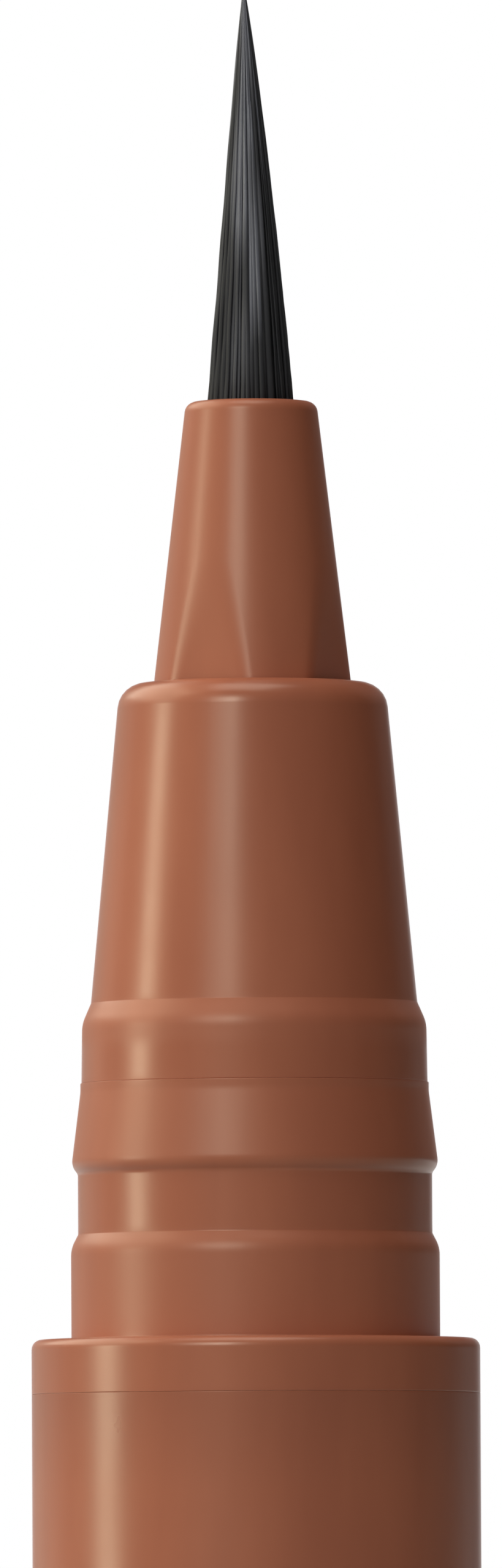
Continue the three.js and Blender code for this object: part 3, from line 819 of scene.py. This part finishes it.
def bristle_line(seat, lock, chance, mouth, length):
    """Centres and relative sizes of one bristle, from its root in the bundle to its point."""
    reach = 1 - chance.random() ** 2 * BRISTLE_SPREAD_OF_ENDS
    sway = chance.uniform(-BRISTLE_SWAY, BRISTLE_SWAY)
    thickness = chance.uniform(*BRISTLE_SIZES)
    phase = chance.uniform(0, 2 * math.pi)
    room = BRUSH_RADIUS - BRISTLE_DEPTH
    centres = [Vector((room * seat.x, room * seat.y, mouth - BRISTLE_ROOTED))]
    sizes = [thickness]
    for step in range(BRISTLE_STEPS + 1):
        share = step / BRISTLE_STEPS
        along = reach * (1 - (1 - share) ** BRISTLE_STEP_POWER)
        width = (1 - along) ** BRUSH_FULLNESS
        gathered = seat.lerp(lock, LOCK_GATHER * math.sin(math.pi * along / 2)).normalized() * seat.length
        weave = 1 - BRISTLE_WEAVE * (1 + math.sin(phase + 2 * math.pi * BRISTLE_WAVES * along)) / 2
        place = Matrix.Rotation(sway * share, 2) @ gathered * (room * width * weave)
        centres.append(Vector((place.x - BRUSH_LEAN * along ** 2, place.y, mouth + length * along)))
        taper = BRISTLE_TIP_SIZE + (1 - BRISTLE_TIP_SIZE) * width
        pointed = thickness * taper * (1 - share ** BRISTLE_POINT_POWER)
        sizes.append(max(pointed, BRISTLE_POINT_SIZE))
    return centres, sizes


def brush_piece():
    """Bristles that gather into locks and follow the brush's taper, on their packed root."""
    mouth = span("nozzle")[1]
    heel, tip = span("brush")
    chance = random.Random(BRISTLE_SEED)
    # Lock shades from the seed: painted highlight in the front's middle, painted shade at its sides
    shades = [chance.random() for _ in range(LOCK_COUNT)]
    phases = [chance.uniform(0, 2 * math.pi) for _ in range(LOCK_COUNT)]
    locks = [(sunflower(i, LOCK_COUNT), shades[i], phases[i]) for i in range(LOCK_COUNT)]
    root = [
        (0, heel + WICK_POINT, 0),
        (WICK_RADIUS, heel, CRISP),
        (HEEL_RADIUS, heel, CRISP),
        (HEEL_RADIUS, heel + HEEL_THICKNESS, CRISP),
        (BRUSH_RADIUS, heel + HEEL_THICKNESS, CRISP),
        (BRUSH_RADIUS, mouth - BRISTLE_ROOTED / 2, CRISP),
        (0, mouth - BRISTLE_ROOTED / 2, 0),
    ]
    vertices, faces = lathe(rounded(root))
    tones = [0.0] * len(vertices)
    for i in range(BRISTLE_COUNT):
        seat = sunflower(i, BRISTLE_COUNT)
        lock, shade, phase = min(locks, key=lambda each: (each[0] - seat).length)
        centres, sizes = bristle_line(seat, lock, chance, mouth, tip - mouth)
        facing = math.atan2(seat.y, seat.x) + chance.gauss(0, BRISTLE_TWIST)
        outward = Vector((math.cos(facing), math.sin(facing), 0))
        add_bristle(vertices, faces, centres, sizes, outward)
        # Each point's tone: the lock's seeded shade, painted highlight in patches and towards the tip,
        # painted shade at the root
        tone_and_painted_light = LOCK_TONE * shade + (1 - LOCK_TONE) * chance.random()
        for centre in centres:
            along = max(centre.z - mouth, 0) / (tip - mouth)
            painted_highlight_patch = 1 + LOCK_HIGHLIGHT_PATCHES * math.sin(phase + 2 * math.pi * LOCK_WAVES * along)
            painted_light_along = ROOT_PAINTED_SHADE + (TIP_PAINTED_HIGHLIGHT - ROOT_PAINTED_SHADE) * along
            tones.extend([tone_and_painted_light * painted_highlight_patch * painted_light_along] * BRISTLE_SIDES)
    piece = mesh_object("brush_bristles", vertices, faces)
    piece.data.attributes.new("tone_and_painted_light", "FLOAT", "POINT").data.foreach_set("value", tones)
    return piece


def wick_piece():
    """Rod with a pointed front end."""
    low, high = span("feed_wick")
    outline = [
        (0, low, 0),
        (WICK_RADIUS, low, CRISP),
        (WICK_RADIUS, high - WICK_POINT, CRISP),
        (0, high, 0),
    ]
    return turned("feed_wick_rod", outline)


def seal_ring_piece(node):
    """Round ring that lies in a plug's groove."""
    low, high = span(node)
    section = SEAL_RING_SECTION / 2
    points = []
    for step in range(SEAL_RING_STEPS):
        angle = 2 * math.pi * step / SEAL_RING_STEPS
        radius = TANK_RADIUS - SEAT_GAP - section + section * math.cos(angle)
        points.append((radius, (low + high) / 2 + section * math.sin(angle)))
    return mesh_object(f"{node}_moulding", *lathe(points))


def ball_piece():
    """Ball that lies on the tail plug."""
    low, high = span("stirring_ball")
    radius = (high - low) / 2
    points = []
    for step in range(BALL_STEPS + 1):
        angle = math.pi * step / BALL_STEPS
        points.append((radius * math.sin(angle), low + radius * (1 - math.cos(angle))))
    return mesh_object("stirring_ball_sphere", *lathe(points, around=2 * BALL_STEPS))


def spring_piece():
    """The inner cap's spring, as a wound wire."""
    low, high = span("cap_spring")
    rise = high - low - 2 * SPRING_WIRE_RADIUS
    steps = int(SPRING_TURNS * SPRING_STEPS)
    vertices, faces = [], []
    for step in range(steps + 1):
        angle = 2 * math.pi * SPRING_TURNS * step / steps
        outward = Vector((math.cos(angle), -math.sin(angle), 0))
        centre = outward * SPRING_RADIUS
        centre.z = high - SPRING_WIRE_RADIUS - rise * step / steps
        for side in range(SPRING_SIDES):
            around = 2 * math.pi * side / SPRING_SIDES
            up = Vector((0, 0, math.sin(around)))
            vertices.append(centre + (outward * math.cos(around) + up) * SPRING_WIRE_RADIUS)
    for step in range(steps):
        for side in range(SPRING_SIDES):
            this = step * SPRING_SIDES + side
            after = step * SPRING_SIDES + (side + 1) % SPRING_SIDES
            faces.append([this, after, after + SPRING_SIDES, this + SPRING_SIDES])
    faces.append(list(range(SPRING_SIDES)))
    faces.append([steps * SPRING_SIDES + side for side in range(SPRING_SIDES)])
    return mesh_object("cap_spring_wire", vertices, faces)


def dress_pen():
    """Put every smooth piece in its place and paint the collector, whose solid stays as it is."""
    brown = brown_plastic()
    natural = natural_plastic()
    metal = steel()
    rubber = seal_rubber()
    dress(brush_piece(), bristle(), "pen", "bristle", "brush")
    dress(nozzle_piece(), brown, "pen", "brown_plastic", "nozzle")
    dress(nose_cone_piece(), brown, "pen", "brown_plastic", "nose_cone")
    dress(cap_seat_piece(), brown, "pen", "brown_plastic", "cap_seat")
    dress(barrel_piece(), brown, "pen", "brown_plastic", "barrel")
    dress(tail_plug_piece(), brown, "pen", "brown_plastic", "tail_plug")
    dress(cap_shell_piece(), brown, "cap", "brown_plastic", "cap_shell")
    dress(crown_piece(), brown, "cap", "brown_plastic", "crown")
    dress(inner_cap_piece(), natural, "inner_cap", "natural_plastic", "inner_cap")
    spring = dress(spring_piece(), metal, "cap", "steel", "cap_spring")
    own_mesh(spring)
    dress(wick_piece(), wick_fibre(), "pen", "wick_fibre", "feed_wick")
    for node in ("front_seal_ring", "tail_seal_ring"):
        dress(seal_ring_piece(node), rubber, "pen", "seal_rubber", node)
    dress(ball_piece(), metal, "ball", "steel", "stirring_ball")
    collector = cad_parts["collector"].data.materials
    collector.clear()
    collector.append(natural)


def floor_fade(nodes, ray, ends):
    """How far the floor is lost in the backdrop for one kind of ray, between two distances in metres."""
    away = nodes.add("ShaderNodeVectorMath")
    away.operation = "LENGTH"
    nodes.join(nodes.place(), away.inputs[0])
    return nodes.combine("MULTIPLY", ray, nodes.rise(away.outputs["Value"], *ends, smooth=True))


def floor_paint():
    """Pale floor that throws little light back up at the pen and fades to white far off."""
    nodes = MaterialNodes("pale_floor")
    path = nodes.add("ShaderNodeLightPath").outputs
    pale = nodes.ramp(nodes.noise(3, detail=2), (0.3, (FLOOR_DARK,) * 3), (0.7, (FLOOR_LIGHT,) * 3))
    colour = nodes.mix_colour(path["Is Diffuse Ray"], pale, (FLOOR_BOUNCE,) * 3)
    nodes.join(colour, nodes.surface.inputs["Base Color"])
    nodes.set(Roughness=FLOOR_ROUGHNESS)
    white = nodes.add("ShaderNodeEmission", Strength=1)
    mirrored = nodes.highest(path["Is Glossy Ray"], path["Is Transmission Ray"])
    lost = nodes.highest(
        floor_fade(nodes, path["Is Camera Ray"], FLOOR_FADE_SEEN),
        floor_fade(nodes, mirrored, FLOOR_FADE_MIRRORED),
    )
    nodes.mix_shaders(lost, nodes.surface.outputs["BSDF"], white.outputs["Emission"], "Material Output")
    return nodes.material


def floor():
    """Plain floor under the pen."""
    mesh = bpy.data.meshes.new("floor")
    reach = FLOOR_REACH
    corners = [(-reach, -reach, 0), (reach, -reach, 0), (reach, reach, 0), (-reach, reach, 0)]
    mesh.from_pydata(corners, [], [(0, 1, 2, 3)])
    mesh.materials.append(floor_paint())
    plane = bpy.data.objects.new("floor", mesh)
    bpy.context.collection.objects.link(plane)


def panel(name, azimuth, elevation, distance, size, power, colour=(1, 1, 1), mirrored=True):
    """A soft light panel that faces the pen's front and may be left out of its reflections."""
    light = bpy.data.lights.new(name, "AREA")
    light.shape = "RECTANGLE"
    light.size, light.size_y = size
    light.energy = power
    light.color = colour
    lamp = bpy.data.objects.new(name, light)
    turn, lift = math.radians(azimuth), math.radians(elevation)
    towards = Vector((
        -math.sin(turn) * math.cos(lift),
        -math.cos(turn) * math.cos(lift),
        math.sin(lift),
    ))
    lamp.location = Vector(PANEL_AIM) + towards * distance
    lamp.rotation_euler = (-towards).to_track_quat("-Z", "Y").to_euler()
    lamp.visible_camera = False
    lamp.visible_glossy = mirrored
    bpy.context.collection.objects.link(lamp)


def fill_strength(nodes):
    """Strength of the surrounding light, which falls off to the right and to the back."""
    tilt = nodes.add("ShaderNodeVectorMath")
    tilt.operation = "DOT_PRODUCT"
    tilt.inputs[1].default_value = FILL_TILT
    nodes.join(nodes.direction(), tilt.inputs[0])
    level = nodes.add("ShaderNodeMath")
    level.operation = "ADD"
    level.use_clamp = True
    level.inputs[1].default_value = FILL_LEVEL
    nodes.join(tilt.outputs["Value"], level.inputs[0])
    return level.outputs["Value"]


def backdrop_share(nodes):
    """How far a ray sees the white backdrop: wholly from the camera, behind the pen in reflections."""
    axes = nodes.add("ShaderNodeSeparateXYZ")
    nodes.join(nodes.direction(), axes.inputs["Vector"])
    behind = nodes.rise(axes.outputs["Y"], BACKDROP_EDGE, 1, smooth=True)
    path = nodes.add("ShaderNodeLightPath").outputs
    mirrored = nodes.highest(path["Is Glossy Ray"], path["Is Transmission Ray"])
    return nodes.highest(path["Is Camera Ray"], nodes.combine("MULTIPLY", mirrored, behind))


def studio():
    """White backdrop, a dim fill that is stronger on the left and in front, and soft panels."""
    world = bpy.data.worlds.new("studio")
    bpy.context.scene.world = world
    world.use_nodes = True
    nodes = Nodes(world.node_tree)
    fill = nodes.tree.nodes["Background"]
    fill.inputs["Color"].default_value = (1, 1, 1, 1)
    nodes.join(fill_strength(nodes), fill.inputs["Strength"])
    white = nodes.add("ShaderNodeBackground", Color=(1, 1, 1, 1), Strength=1)
    share = backdrop_share(nodes)
    nodes.mix_shaders(share, fill.outputs["Background"], white.outputs["Background"], "World Output")
    for name, settings in PANELS.items():
        panel(name, **settings)


def camera():
    """Long lens straight at the pen's front, a little from below, as in the photograph."""
    aim = Vector((AIM_SIDEWAYS * MM, 0, (cap_stop() + AIM_ABOVE_CAP_STOP) * MM))
    distance = PICTURE_HEIGHT * MM * CAMERA_LENS / CAMERA_SENSOR
    back = Vector((0, -math.cos(CAMERA_ELEVATION), math.sin(CAMERA_ELEVATION)))
    lens = bpy.data.cameras.new("camera")
    lens.lens = CAMERA_LENS
    lens.sensor_width = CAMERA_SENSOR
    lens.clip_start = CAMERA_NEAREST
    eye = bpy.data.objects.new("camera", lens)
    eye.location = aim + back * distance
    look = (-back).to_track_quat("-Z", "Y").to_matrix()
    eye.rotation_euler = (look @ Matrix.Rotation(-CAMERA_ROLL, 3, "Z")).to_euler()
    bpy.context.collection.objects.link(eye)
    bpy.context.scene.camera = eye


dress_pen()
floor()
studio()
camera()
bpy.context.scene.view_settings.view_transform = "Standard"
